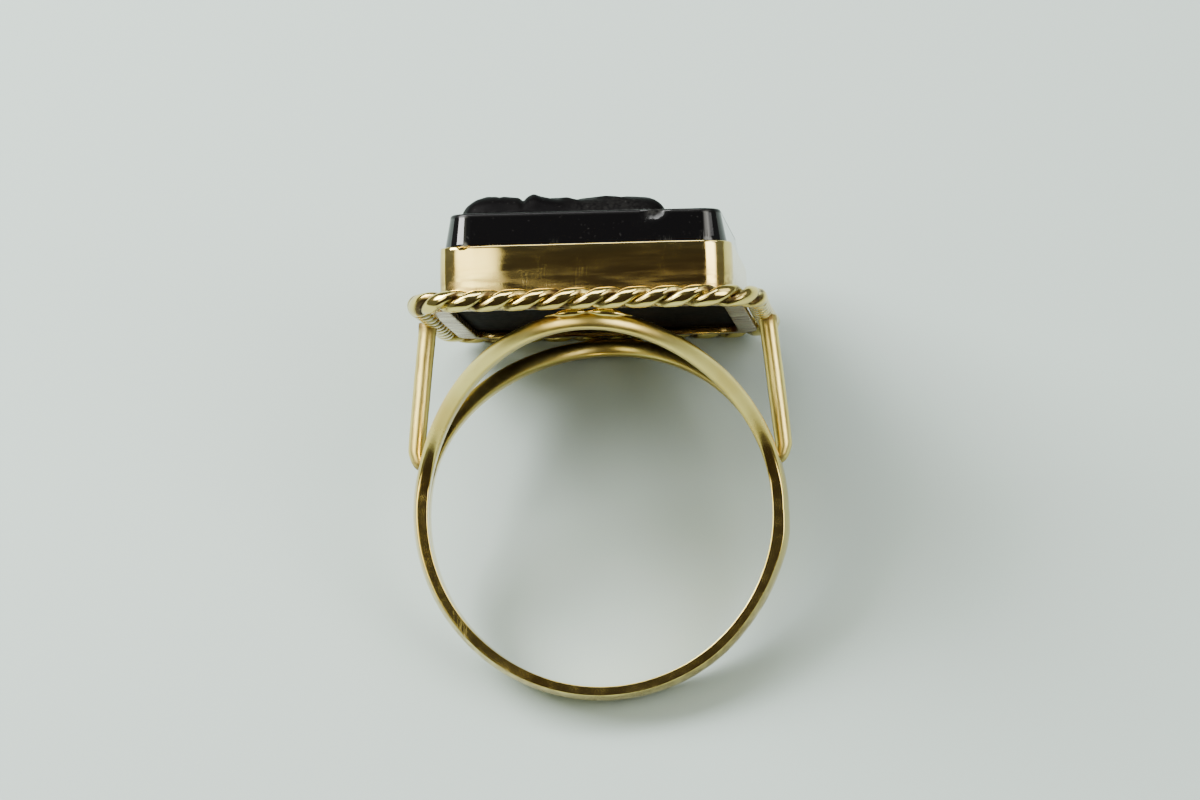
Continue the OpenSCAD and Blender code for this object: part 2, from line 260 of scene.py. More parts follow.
def solder(far):
    """The solder between an arch's crest and the twisted wire, with its two run-out beads."""
    def place(u, w):
        x = (w * 2 - 1) * 2.2 + 0.2
        a = 2 * math.pi * u
        swell = math.sqrt(max(0.0, 1 - (w * 2 - 1) ** 2))
        bead = math.exp(-((x + 0.75) / 0.66) ** 4) + 1.1 * math.exp(-((x - 1.10) / 0.72) ** 4)
        r = 0.06 * swell + 0.15 * bead
        z = ARCH_Z + 0.58 + r * 1.3 * math.cos(a)
        y = HEAD_Y - 0.24 - 0.045 * x * x + r * math.sin(a)
        return laid(x, y, -z if far else z)
    return place


loops = [sheet("loop", len(ARCH_BAR), 288, loop_place(far), loop_wear_and_shade) for far in (False, True)]
rods = [sheet("rod", 28, 60, strut(side), strut_wear) for side in (-1, 1)]
beads = [sheet("bead", 20, 40, solder(far), lambda u, w: (0.25, 0, 0, 1)) for far in (False, True)]
finger_loop = joined("finger_loop", loops + rods + beads)

# ---- the bezel: a plain wall on a flat base frame ----
# Columns: outward from the wall's outer face, and up from the base frame's underside
BEZEL_BAR = softened([
    (0.44, 0.0), (0.5, 0.05), (0.5, 0.30), (0.44, 0.35), (0.22, 0.35), (0.05, 0.36),
    (0.0, 0.42), (0.0, 0.8), (0.0, 1.2), (0.0, 1.6), (0.0, 2.0), (0.0, 2.4), (0.0, 2.8),
    (0.0, 3.17), (-0.02, 3.225), (-0.12, 3.25), (-0.20, 3.235), (-0.21, 2.4), (-0.21, 0.9),
    (-0.21, 0.35), (-0.30, 0.35),
    (-0.44, 0.35), (-0.47, 0.31), (-0.47, 0.05), (-0.44, 0.0), (0.0, 0.0),
], 1)


def pressed_in(x, y, normal):
    """How far the near run of the wall has been rubbed in towards its left corner."""
    if y > 0 or x > -3.6 or normal[1] > -0.01:
        return 0.0
    corner = WALL_W / 2 - WALL_R
    t = min(-x, corner) - 3.6
    run = 0.12 * (t - 0.7 * (1 - math.exp(-t / 0.7)))
    arc = WALL_R * math.atan2(-normal[0], -normal[1])
    return (run + 0.113 * arc) * (1 - smooth(0.2, 1.9, arc))


def bezel_place(u, w):
    """The wall, a little uneven, bulged and rubbed in at one corner."""
    n, h = BEZEL_BAR[int(round(u * len(BEZEL_BAR))) % len(BEZEL_BAR)]
    (x, y), normal = round_corner_walk(WALL_W, WALL_L, WALL_R, n, w)
    if h > 0.5 and n > -0.1:
        push = 0.012 * uneven(x, y, h * 1.5, 2.3, 5.0) + 0.004 * uneven(x, y, h, 0.9, 7.0)
        push += 0.035 * (1 - ((h - 1.7) / 1.4) ** 2) - pressed_in(x, y, normal)
        push *= smooth(0.4, 0.9, h)
        x, y = x + normal[0] * push, y + normal[1] * push
    if h > 2.9:
        h += 0.03 * uneven(x, y, 0, 2.6, 1.0)
    return laid(x, HEAD_Y + h, -y)


def bezel_corner_shade(u, w):
    """Painted shade in the corner between the wall and its frame, thinning out up the wall."""
    h = BEZEL_BAR[int(round(u * len(BEZEL_BAR))) % len(BEZEL_BAR)][1]
    return (1 - 0.45 * smooth(0.35, 1.0, h) - 0.55 * smooth(1.0, 2.3, h), 0, 0, 1)


bezel = sheet("bezel_wall", len(BEZEL_BAR), 300, bezel_place, bezel_corner_shade)

# ---- the twisted wire ----
ROPE_LEN = 2 * (ROPE_W + ROPE_L) - 8 * ROPE_CORNER + 2 * math.pi * ROPE_CORNER
ROPE_TURNS = round(ROPE_LEN / ROPE_LAY)
STRAND_A, STRAND_B = 0.315, 0.41


def strand_place(phase):
    """One strand of the wire; its corners stand out a little past the middle of its runs."""
    def place(u, w):
        (x, y), normal = round_corner_walk(ROPE_W, ROPE_L, ROPE_CORNER, 0.0, w)
        flat = (ROPE_W, ROPE_L)[abs(normal[0]) > 0.5] / 2 - ROPE_CORNER
        bow = ROPE_BOW * min(1.0, abs((x, y)[abs(normal[0]) > 0.5] / flat)) ** 2
        x, y = x + normal[0] * bow, y + normal[1] * bow
        twist = 2 * math.pi * (ROPE_TURNS * w + phase)
        a = 2 * math.pi * u
        off = ROPE_R - STRAND_A - 0.01
        p, q = off + STRAND_A * math.cos(a), STRAND_B * math.sin(a)
        out = p * math.cos(twist) + q * math.sin(twist)
        up = p * math.sin(twist) - q * math.cos(twist)
        return laid(x + normal[0] * out, ROPE_Y + up, -(y + normal[1] * out))
    return place


def strand_crease_shade(u, w):
    """Painted shade on the side that faces the other strand, where the two strands press together."""
    inward = 0.5 - 0.5 * math.cos(2 * math.pi * u)
    return (smooth(0.16, 0.55, inward), 0, 0, 1)


rope = joined("twisted_wire", [
    sheet("strand", 20, ROPE_TURNS * 30, strand_place(phase), strand_crease_shade) for phase in (0.0, 0.5)
])


# ---- the carved stone ----
def curve(points, steps):
    """A smooth open line through the points."""
    line = []
    for i in range(len(points) - 1):
        a, b, c, d = (np.array(points[max(0, min(len(points) - 1, k))], float)
                      for k in (i - 1, i, i + 1, i + 2))
        for s in range(steps):
            t = s / steps
            line.append(b + t * (c - a) / 2 + t * t * (a - 2.5 * b + 2 * c - d / 2)
                        + t ** 3 * (1.5 * (b - c) + (d - a) / 2))
    line.append(np.array(points[-1], float))
    return np.array(line)


def line_distance(x, y, line):
    """Distance to a line of points, and the share of its length where it is nearest."""
    best = np.full(x.shape, 1e9)
    share = np.zeros(x.shape)
    for i in range(len(line) - 1):
        (ax, ay), (bx, by) = line[i], line[i + 1]
        ex, ey = bx - ax, by - ay
        t = np.clip(((x - ax) * ex + (y - ay) * ey) / (ex * ex + ey * ey + 1e-12), 0, 1)
        d = np.hypot(x - ax - t * ex, y - ay - t * ey)
        share = np.where(d < best, (i + t) / (len(line) - 1), share)
        best = np.minimum(best, d)
    return best, share


def depth_inside(x, y, outline):
    """How far inside a closed outline each place is; below zero outside it."""
    line = curve(outline + outline[:1], 4)
    d, _ = line_distance(x, y, line)
    inside = np.zeros(x.shape, bool)
    for (ax, ay), (bx, by) in zip(line[:-1], line[1:]):
        cross = (ay > y) != (by > y)
        inside ^= cross & (x < (bx - ax) * (y - ay) / (by - ay + 1e-12) + ax)
    return np.where(inside, d, -d)


def swollen(depth, reach, power=2.3):
    """A rounded rise from 0 at the outline to 1 at reach inside it."""
    t = np.clip(depth / reach, 0, 1)
    return (1 - (1 - t) ** power) ** (1 / power)


def soft_max(a, b, r):
    """The higher of two forms, blended over r where they meet."""
    h = np.clip(0.5 + 0.5 * (a - b) / r, 0, 1)
    return b + (a - b) * h + r * h * (1 - h)


def mound(x, y, cx, cy, rx, ry, deg, height):
    """A soft oval rise, or a hollow where height is below zero."""
    a = math.radians(deg)
    p = ((x - cx) * math.cos(a) + (y - cy) * math.sin(a)) / rx
    q = (-(x - cx) * math.sin(a) + (y - cy) * math.cos(a)) / ry
    return height * np.exp(-(p * p + q * q) * 1.4)


def stroke(x, y, points, width, height, taper=0.35):
    """A soft ridge along a curve, or a groove where height is below zero."""
    d, share = line_distance(x, y, curve(points, 5))
    ends = np.clip(np.minimum(share, 1 - share) / max(taper, 1e-3), 0, 1)
    return height * np.exp(-(d / width) ** 2) * np.sqrt(ends)


FACE = [
    (-1.4, 4.6), (0.4, 5.6), (2.1, 5.5), (2.85, 4.9), (3.13, 4.25), (3.22, 3.6), (3.2, 3.2),
    (3.03, 2.75), (3.2, 2.25), (3.55, 1.7), (3.92, 1.2), (3.8, 0.95), (3.25, 0.82), (2.93, 0.7),
    (2.98, 0.45), (3.1, 0.25), (2.92, 0.02), (2.98, -0.22), (2.86, -0.5), (2.66, -0.78),
    (2.78, -1.1), (2.72, -1.5), (2.3, -1.85), (1.5, -1.8), (0.4, -1.35), (-0.6, -0.6),
    (-1.2, 0.4), (-2.2, 2.0),
]
HAIR = [
    (2.75, 5.15), (2.5, 6.1), (1.5, 6.95), (0.0, 7.5), (-1.8, 7.35), (-3.3, 6.55), (-4.4, 5.2),
    (-4.9, 3.6), (-4.8, 2.0), (-4.2, 0.6), (-3.5, -0.5), (-2.9, -1.6), (-2.35, -1.9),
    (-1.95, -1.1), (-1.75, 0.2), (-1.7, 1.6), (-1.62, 2.7), (-0.9, 3.35), (-0.25, 2.6),
    (0.15, 2.7), (0.5, 3.6), (1.2, 4.35), (2.0, 4.85),
]
NECK = [
    (-3.0, 0.6), (-2.9, -1.0), (-2.75, -2.4), (-3.0, -3.8), (-3.4, -5.4), (1.6, -5.6),
    (1.25, -4.3), (0.85, -3.2), (0.85, -2.2), (1.1, -1.2), (0.2, 0.4), (-1.4, 1.2),
]
DRESS = [
    (-6.22, -6.9), (-5.7, -7.75), (-4.2, -8.05), (-2.0, -8.12), (0.5, -8.12), (2.6, -8.0),
    (3.7, -7.6), (3.95, -6.9), (3.6, -5.9), (2.8, -5.1), (1.9, -4.75), (0.6, -5.15),
    (-0.8, -5.0), (-2.0, -4.3), (-3.0, -3.65), (-3.9, -4.2), (-4.9, -5.0), (-5.95, -6.0),
]
EAR = (-1.05, 1.95)
RELIEF_MAX = 1.13
CHIP_X, CHIP_Z, CHIP_WIDE, CHIP_TALL = 3.6, -0.10, 0.40, 0.30


def carving(x, y):
    """Height of the carving over the flat top, its roughness and where it is worked, at each place."""
    hair_in = depth_inside(x, y, HAIR)
    face_in = depth_inside(x, y, FACE)
    neck_in = depth_inside(x, y, NECK)
    dress_in = depth_inside(x, y, DRESS)
    face = 0.80 * swollen(face_in, 1.5)
    hair = 0.94 * swollen(hair_in, 1.15)
    neck = 0.52 * swollen(neck_in, 1.3)
    dress = 0.68 * swollen(dress_in, 0.8, 1.6)

    # the face
    skin = np.clip(face_in / 0.25, 0, 1) * (hair_in < 0.05)
    face += skin * (
        mound(x, y, 1.2, 1.1, 1.3, 1.1, 20, 0.10)
        + mound(x, y, 2.2, 2.78, 0.62, 0.42, -8, -0.17)
        + mound(x, y, 2.1, 2.72, 0.34, 0.24, 0, 0.15)
        + mound(x, y, 3.08, 1.12, 0.28, 0.24, 30, 0.10)
        + mound(x, y, 3.3, 0.93, 0.16, 0.07, 0, -0.07)
        + mound(x, y, 2.3, -1.25, 0.5, 0.45, 0, 0.06)
        + mound(x, y, 1.9, 0.3, 0.4, 0.9, -20, -0.03)
        + stroke(x, y, [(1.35, 3.4), (1.9, 3.66), (2.6, 3.56), (3.1, 3.3)], 0.17, 0.08)
        + stroke(x, y, [(1.62, 2.72), (1.95, 3.0), (2.4, 2.98), (2.68, 2.76)], 0.055, 0.075)
        + stroke(x, y, [(1.68, 2.6), (2.0, 2.46), (2.35, 2.48), (2.6, 2.6)], 0.05, 0.05)
        + stroke(x, y, [(2.3, 0.05), (2.6, 0.03), (2.95, 0.05)], 0.05, -0.09, 0.2)
        + stroke(x, y, [(2.35, 0.2), (2.7, 0.28), (3.05, 0.24)], 0.10, 0.05)
        + stroke(x, y, [(2.38, -0.16), (2.65, -0.26), (2.95, -0.24)], 0.12, 0.06)
        + stroke(x, y, [(2.82, 0.72), (2.7, 1.0), (2.72, 1.3)], 0.06, -0.05)
    )
    face += (
        stroke(x, y, [(-0.62, 2.6), (-0.85, 2.95), (-1.25, 2.9), (-1.42, 2.4), (-1.35, 1.8),
                      (-1.1, 1.3), (-0.88, 0.95), (-0.68, 1.05)], 0.11, 0.14, 0.1)
        + stroke(x, y, [(-0.78, 2.45), (-1.05, 2.4), (-1.1, 1.9)], 0.08, 0.07)
        + mound(x, y, -0.9, 1.85, 0.2, 0.36, 0, -0.14)
        + stroke(x, y, [(-0.62, 2.2), (-0.6, 1.8), (-0.68, 1.5)], 0.07, 0.08)
    )

    # the hair, combed back in waves round the ear
    r = np.hypot((x - EAR[0]) * 1.03, y - EAR[1])
    a = np.arctan2(y - EAR[1], x - EAR[0])
    wave = r + 0.16 * np.sin(a * 5.0 + r * 1.7) + 0.05 * np.sin(a * 13.0 + r * 3.0)
    locks = 0.5 + 0.5 * np.cos(2 * np.pi * wave / 0.78)
    strands = 0.5 + 0.5 * np.cos(2 * np.pi * (wave + 0.05 * np.sin(a * 23)) / 0.195)
    in_hair = np.clip(hair_in / 0.18, 0, 1)
    hair += in_hair * (0.13 * locks ** 0.7 - 0.075 + 0.030 * strands)
    hair += in_hair * (
        stroke(x, y, [(2.55, 5.25), (1.4, 4.75), (0.6, 3.95), (0.1, 3.05)], 0.15, 0.10)
        + stroke(x, y, [(-1.75, 2.4), (-2.0, 1.0), (-2.1, -0.3), (-2.25, -1.3)], 0.14, 0.09)
    )

    # the neck and the dress with its folds
    neck += (
        stroke(x, y, [(-1.5, -0.4), (-0.7, -2.2), (0.2, -3.9), (0.7, -4.8)], 0.30, 0.07)
        + stroke(x, y, [(-0.3, -2.0), (0.1, -3.3), (0.4, -4.6)], 0.22, -0.04)
    ) * np.clip(neck_in / 0.3, 0, 1)
    in_dress = np.clip(dress_in / 0.22, 0, 1)
    folds = (
        stroke(x, y, [(-3.1, -3.75), (-2.1, -4.45), (-0.8, -5.15), (0.6, -5.3), (1.9, -4.95)],
               0.20, 0.14, 0.05)
        + stroke(x, y, [(-2.6, -4.3), (-2.45, -5.6), (-2.6, -7.0), (-2.5, -8.1)], 0.26, 0.13, 0.02)
        + stroke(x, y, [(-3.1, -4.4), (-3.1, -6.0), (-3.12, -8.1)], 0.14, -0.16, 0.02)
        + stroke(x, y, [(-2.3, -4.9), (-1.7, -6.2), (-0.9, -7.4), (-0.2, -8.0)], 0.24, 0.13)
        + stroke(x, y, [(-1.2, -5.5), (-0.2, -6.5), (1.0, -7.3), (2.2, -7.7)], 0.22, 0.14)
        + stroke(x, y, [(0.2, -5.7), (1.2, -6.3), (2.2, -6.6), (3.3, -6.7)], 0.20, 0.13)
        + stroke(x, y, [(1.2, -5.4), (2.0, -5.6), (2.9, -5.8)], 0.15, 0.09)
        + stroke(x, y, [(-4.4, -4.9), (-4.7, -6.0), (-5.0, -7.2)], 0.26, 0.08)
        + stroke(x, y, [(-3.9, -4.7), (-4.2, -6.1), (-4.3, -7.6)], 0.12, -0.05)
        + stroke(x, y, [(-5.2, -5.6), (-5.5, -6.6)], 0.10, -0.05)
        + mound(x, y, -4.4, -6.9, 1.7, 1.8, 0, 0.27)
        + mound(x, y, -2.3, -6.9, 0.8, 1.8, 0, 0.10)
    )
    sweep = 0.08 * np.exp(-((x + 2.3) / 0.9) ** 2) + 0.05 * np.exp(-((x - 1.9) / 1.3) ** 2)
    dress += in_dress * (folds + sweep)

    head = soft_max(face, hair, 0.05)
    body = soft_max(neck, dress, 0.07)
    height = soft_max(head, body, 0.06)
    worked = np.maximum(np.maximum(face_in, hair_in), np.maximum(neck_in, dress_in))
    height = np.where(worked > -0.02, height, 0.0)
    height = np.clip(height, 0, RELIEF_MAX)
    rough = 0.4 * np.exp(-((x - 1.3) / 1.9) ** 4) * np.exp(-((y + 8.0) / 0.55) ** 2) * (dress_in > -0.1)
    return height, rough, np.clip(1 + worked / 0.15, 0, 1)


def in_fixed_order(bm):
    """Sort the mesh by place, because extruding doesn't number what it makes the same way each run."""
    for parts, where in ((bm.verts, lambda v: v.co[:]),
                         (bm.edges, lambda e: sorted(v.co[:] for v in e.verts)),
                         (bm.faces, lambda f: f.calc_center_median()[:])):
        for i, part in enumerate(sorted(parts, key=where)):
            part.index = i
        parts.sort()


def cameo():
    """The stone: a grid pulled to a rounded rectangle and carved, then drawn down to its foot."""
    bm = bmesh.new()
    bmesh.ops.create_grid(bm, x_segments=196, y_segments=256, size=0.5)
    marks = bm.verts.layers.float_color.new("wear_and_shade")
    bm.verts.ensure_lookup_table()
    flat = np.array([v.co[:] for v in bm.verts]) * 2
    x, y = flat[:, 0] * STONE_TOP_W / 2, flat[:, 1] * STONE_TOP_L / 2
    core = (STONE_TOP_W / 2 - STONE_TOP_R, STONE_TOP_L / 2 - STONE_TOP_R)
    p = np.clip((np.abs(x) - core[0]) / STONE_TOP_R, 0, 1)
    q = np.clip((np.abs(y) - core[1]) / STONE_TOP_R, 0, 1)
    x = np.sign(x) * (np.minimum(np.abs(x), core[0]) + STONE_TOP_R * p * np.sqrt(1 - q * q / 2))
    y = np.sign(y) * (np.minimum(np.abs(y), core[1]) + STONE_TOP_R * q * np.sqrt(1 - p * p / 2))
    height, rough, worked = carving(x, y)
    for i, v in enumerate(bm.verts):
        h = float(height[i])
        if h > 0.02:
            h += 0.010 * uneven(x[i], y[i], 0, 0.35, 2.0)
            h += 0.012 * float(rough[i]) * uneven(x[i], y[i], 0, 0.5, 8.0)
        v.co = (x[i], y[i], max(0.0, h))
        v[marks] = (float(worked[i]), float(rough[i]), 0, 1)
    rim = [e for e in bm.edges if e.is_boundary]
    steps = [(STONE_EDGE * math.sin(math.radians(a)), -STONE_EDGE * (1 - math.cos(math.radians(a))))
             for a in (18, 36, 54, 72, 90)]
    drop = STONE_TOP - WALL_TOP
    steps += [(STONE_EDGE + STONE_TAPER * s, -STONE_EDGE - (drop - STONE_EDGE) * s)
              for s in (0.06, 0.14, 0.22, 0.30, 0.38, 0.46, 0.55, 0.7, 0.85, 1.0)]
    steps += [(STONE_EDGE + STONE_TAPER, -STONE_H + 0.05), (STONE_EDGE + STONE_TAPER - 0.05, -STONE_H)]
    steps += [(-STONE_TOP_R * 0.6, -STONE_H)]
    before = 0.0
    for out, z in steps:
        grown = bmesh.ops.extrude_edge_only(bm, edges=rim)["geom"]
        rim = [g for g in grown if isinstance(g, bmesh.types.BMEdge)]
        for v in (g for g in grown if isinstance(g, bmesh.types.BMVert)):
            mid = [max(-core[k], min(core[k], v.co[k])) for k in (0, 1)]
            away = Vector((v.co.x - mid[0], v.co.y - mid[1])).normalized()
            v.co.x += away.x * (out - before)
            v.co.y += away.y * (out - before)
            v.co.z = z
            v[marks] = (0.7 if z > -STONE_EDGE * 1.01 else 0, 0, 0, 1)
        before = out
    bmesh.ops.edgeloop_fill(bm, edges=rim)
    for f in bm.faces:
        f.material_index = 1 if max(v.co.z for v in f.verts) < 0.1 - STONE_H else 0
    for v in bm.verts:
        if v.co.y < -core[1] and -1.1 < v.co.z < 0.02:
            along = (v.co.x - CHIP_X - 0.6 * v.co.z) / CHIP_WIDE
            chip = math.exp(-along ** 2 - ((v.co.z - CHIP_Z) / CHIP_TALL) ** 2)
            if chip > 0.03:
                v.co.y += chip * (0.10 + 0.08 * uneven(v.co.x, 0, v.co.z, 0.22, 4.0))
                v[marks] = (0, max(min(1.0, 1.3 * chip), v[marks][1]), 0, 1)
    for v in bm.verts:
        v.co = laid(v.co.x, STONE_TOP + v.co.z, -v.co.y)
    bmesh.ops.recalc_face_normals(bm, faces=bm.faces)
    for f in bm.faces:
        f.smooth = True
    in_fixed_order(bm)
    mesh = bpy.data.meshes.new("carved_stone")
    bm.to_mesh(mesh)
    bm.free()
    obj = bpy.data.objects.new("carved_stone", mesh)
    bpy.context.scene.collection.objects.link(obj)
    return obj


stone = cameo()


# ---- finishes ----
def add(tree, kind, **given):
    """A node, with its settings by name and its input values by socket name in a dict."""
    made = tree.nodes.new(kind)
    for name, value in given.pop("values", {}).items():
        made.inputs[name].default_value = value
    for name, value in given.items():
        setattr(made, name, value)
    return made


def math_node(tree, operation, a, b=None, clamp=False):
    made = add(tree, "ShaderNodeMath", operation=operation, use_clamp=clamp)
    for i, value in enumerate((a, b)):
        if value is None:
            continue
        if isinstance(value, (int, float)):
            made.inputs[i].default_value = value
        else:
            tree.links.new(value, made.inputs[i])
    return made.outputs[0]


def ramp(tree, source, low, high):
    made = add(tree, "ShaderNodeMapRange", interpolation_type="SMOOTHSTEP")
    made.inputs["From Min"].default_value = low
    made.inputs["From Max"].default_value = high
    tree.links.new(source, made.inputs["Value"])
    return made.outputs["Result"]


def blend_colour(tree, share, a, b):
    made = add(tree, "ShaderNodeMix", data_type="RGBA")
    tree.links.new(share, made.inputs["Factor"])
    for name, value in (("A", a), ("B", b)):
        socket = [s for s in made.inputs if s.name == name and s.type == "RGBA"][0]
        if isinstance(value, tuple):
            socket.default_value = value
        else:
            tree.links.new(value, socket)
    return [s for s in made.outputs if s.type == "RGBA"][0]


def new_group(name, inputs, outputs):
    group = bpy.data.node_groups.new(name, "ShaderNodeTree")
    for label, kind, value in inputs:
        socket = group.interface.new_socket(label, in_out="INPUT", socket_type=kind)
        if value is not None:
            socket.default_value = value
    for label, kind in outputs:
        group.interface.new_socket(label, in_out="OUTPUT", socket_type=kind)
    return group, group.nodes.new("NodeGroupInput"), group.nodes.new("NodeGroupOutput")


def scratch_group():
    """Thin random lines in two directions, broken up so that they start and stop."""
    group, given, out = new_group(
        "fine_scratches",
        [("Place", "NodeSocketVector", None), ("Density", "NodeSocketFloat", 1.0)],
        [("Lines", "NodeSocketFloat")],
    )
    lines = None
    for turn, seed in (((0.3, 0.2, 0.9), 0.0), ((0.9, -0.5, -0.4), 3.7), ((-0.2, 1.1, 0.4), 8.1)):
        spin = add(group, "ShaderNodeMapping")
        spin.inputs["Rotation"].default_value = turn
        spin.inputs["Scale"].default_value = (5200.0, 520.0, 900.0)
        spin.inputs["Location"].default_value = (seed, seed, seed)
        group.links.new(given.outputs["Place"], spin.inputs["Vector"])
        grain = add(group, "ShaderNodeTexNoise")
        grain.inputs["Scale"].default_value = 1.0
        grain.inputs["Detail"].default_value = 1.0
        group.links.new(spin.outputs[0], grain.inputs["Vector"])
        near = math_node(group, "ABSOLUTE", math_node(group, "SUBTRACT", grain.outputs["Fac"], 0.5))
        thin = math_node(group, "SUBTRACT", 1.0, ramp(group, near, 0.002, 0.016))
        lines = thin if lines is None else math_node(group, "MAXIMUM", lines, thin)
    gaps = add(group, "ShaderNodeTexNoise")
    gaps.inputs["Scale"].default_value = 620.0
    gaps.inputs["Detail"].default_value = 3.0
    group.links.new(given.outputs["Place"], gaps.inputs["Vector"])
    broken_up = ramp(group, gaps.outputs["Fac"], 0.56, 0.72)
    shown = math_node(group, "MULTIPLY", broken_up, given.outputs["Density"])
    group.links.new(math_node(group, "MULTIPLY", lines, shown, clamp=True), out.inputs["Lines"])
    return group


def cloud_group():
    """Soft patches of two sizes, for tone and haze."""
    group, given, out = new_group(
        "soft_patches",
        [("Place", "NodeSocketVector", None), ("Scale", "NodeSocketFloat", 300.0)],
        [("Patches", "NodeSocketFloat"), ("Fine", "NodeSocketFloat")],
    )
    for label, factor, detail in (("Patches", 1.0, 4.0), ("Fine", 7.0, 6.0)):
        grain = add(group, "ShaderNodeTexNoise")
        grain.inputs["Detail"].default_value = detail
        group.links.new(given.outputs["Place"], grain.inputs["Vector"])
        group.links.new(math_node(group, "MULTIPLY", given.outputs["Scale"], factor), grain.inputs["Scale"])
        group.links.new(grain.outputs["Fac"], out.inputs[label])
    return group


SCRATCHES = scratch_group()
CLOUDS = cloud_group()


def started(name):
    """A new material's tree with its shader, its object coordinates and its marks of wear and painted
    shade.
    """
    material = bpy.data.materials.new(name)
    material.use_nodes = True
    tree = material.node_tree
    tree.nodes.clear()
    shader = add(tree, "ShaderNodeBsdfPrincipled")
    end = add(tree, "ShaderNodeOutputMaterial")
    tree.links.new(shader.outputs[0], end.inputs["Surface"])
    place = add(tree, "ShaderNodeTexCoord").outputs["Object"]
    marks = add(tree, "ShaderNodeAttribute", attribute_name="wear_and_shade")
    parts = add(tree, "ShaderNodeSeparateColor")
    tree.links.new(marks.outputs["Color"], parts.inputs["Color"])
    return material, tree, shader, place, parts


def placed(tree, group, place, **values):
    made = add(tree, "ShaderNodeGroup")
    made.node_tree = group
    tree.links.new(place, made.inputs["Place"])
    for name, value in values.items():
        made.inputs[name].default_value = value
    return made


def gold(name, colour, grime_and_shade, smoothness, density, drawn=(1.0, 1.0, 1.0)):
    """Polished yellow gold with fine scratches, haze drawn out one way, and painted shade with some grime
    in its creases and corners.
    """
    material, tree, shader, place, parts = started(name)
    scratches = placed(tree, SCRATCHES, place, Density=density)
    stretch = add(tree, "ShaderNodeMapping")
    stretch.inputs["Scale"].default_value = drawn
    tree.links.new(place, stretch.inputs["Vector"])
    clouds = placed(tree, CLOUDS, stretch.outputs[0], Scale=260.0)
    dull = tuple(c * k for c, k in zip(colour, (0.86, 0.78, 0.66))) + (1,)
    tone = blend_colour(tree, ramp(tree, clouds.outputs["Patches"], 0.35, 0.7), colour + (1,), dull)
    # Red marks blend the colour towards the dark crease colour: painted shade in creases, corners and the
    # fork, with some grime.
    dirt_and_shade = math_node(tree, "MULTIPLY", parts.outputs["Red"],
                     ramp(tree, clouds.outputs["Fine"], 0.30, 0.62), clamp=True)
    tree.links.new(blend_colour(tree, dirt_and_shade, tone, grime_and_shade + (1,)), shader.inputs["Base Color"])
    shader.inputs["Metallic"].default_value = 1.0
    haze = math_node(tree, "MULTIPLY", ramp(tree, clouds.outputs["Fine"], 0.35, 0.75), 0.07)
    rough = math_node(tree, "ADD", haze, smoothness)
    rough = math_node(tree, "ADD", rough, math_node(tree, "MULTIPLY", scratches.outputs["Lines"], 0.16))
    rough = math_node(tree, "ADD", rough, math_node(tree, "MULTIPLY", dirt_and_shade, 0.25))
    rough = math_node(tree, "ADD", rough, math_node(tree, "MULTIPLY", parts.outputs["Blue"], 0.20))
    tree.links.new(rough, shader.inputs["Roughness"])
    height = math_node(tree, "MULTIPLY", scratches.outputs["Lines"], -1.0)
    height = math_node(tree, "ADD", height, math_node(tree, "MULTIPLY", clouds.outputs["Fine"], 0.5))
    bump = add(tree, "ShaderNodeBump", values={"Strength": 0.2, "Distance": 0.000004})
    tree.links.new(height, bump.inputs["Height"])
    tree.links.new(bump.outputs[0], shader.inputs["Normal"])
    return material


def black_stone():
    """Black onyx: polished sides, satin carving, dust in the carving and grey where it is chipped."""
    material, tree, shader, place, parts = started("black_onyx")
    scratches = placed(tree, SCRATCHES, place, Density=0.55)
    clouds = placed(tree, CLOUDS, place, Scale=900.0)
    specks = ramp(tree, clouds.outputs["Fine"], 0.66, 0.74)
    carved = parts.outputs["Red"]
    dusty = math_node(tree, "MULTIPLY", carved, ramp(tree, clouds.outputs["Patches"], 0.40, 0.75))
    base = blend_colour(tree, math_node(tree, "MULTIPLY", dusty, 0.007), (0.0022, 0.002, 0.0022, 1),
                        (0.20, 0.19, 0.18, 1))
    base = blend_colour(tree, math_node(tree, "MULTIPLY", specks, 0.04), base, (0.35, 0.34, 0.33, 1))
    broken = math_node(tree, "MULTIPLY", parts.outputs["Green"],
                       ramp(tree, clouds.outputs["Fine"], 0.30, 0.62), clamp=True)
    base = blend_colour(tree, math_node(tree, "MULTIPLY", broken, 0.10), base, (0.14, 0.14, 0.13, 1))
    tree.links.new(base, shader.inputs["Base Color"])
    shader.inputs["IOR"].default_value = 1.54
    dulled = math_node(tree, "MULTIPLY", math_node(tree, "MAXIMUM", carved, parts.outputs["Green"]), 0.485)
    tree.links.new(math_node(tree, "SUBTRACT", 0.5, dulled), shader.inputs["Specular IOR Level"])
    rough = math_node(tree, "MULTIPLY", carved, 0.36)
    rough = math_node(tree, "ADD", rough, 0.05)
    rough = math_node(tree, "ADD", rough, math_node(tree, "MULTIPLY", parts.outputs["Green"], 0.45))
    rough = math_node(tree, "ADD", rough, math_node(tree, "MULTIPLY", scratches.outputs["Lines"], 0.2))
    tree.links.new(rough, shader.inputs["Roughness"])
    height = math_node(tree, "MULTIPLY", scratches.outputs["Lines"], -0.6)
    height = math_node(tree, "ADD", height, math_node(tree, "MULTIPLY", clouds.outputs["Fine"], carved))
    bump = add(tree, "ShaderNodeBump", values={"Strength": 0.4, "Distance": 0.000012})
    tree.links.new(height, bump.inputs["Height"])
    tree.links.new(bump.outputs[0], shader.inputs["Normal"])
    return material


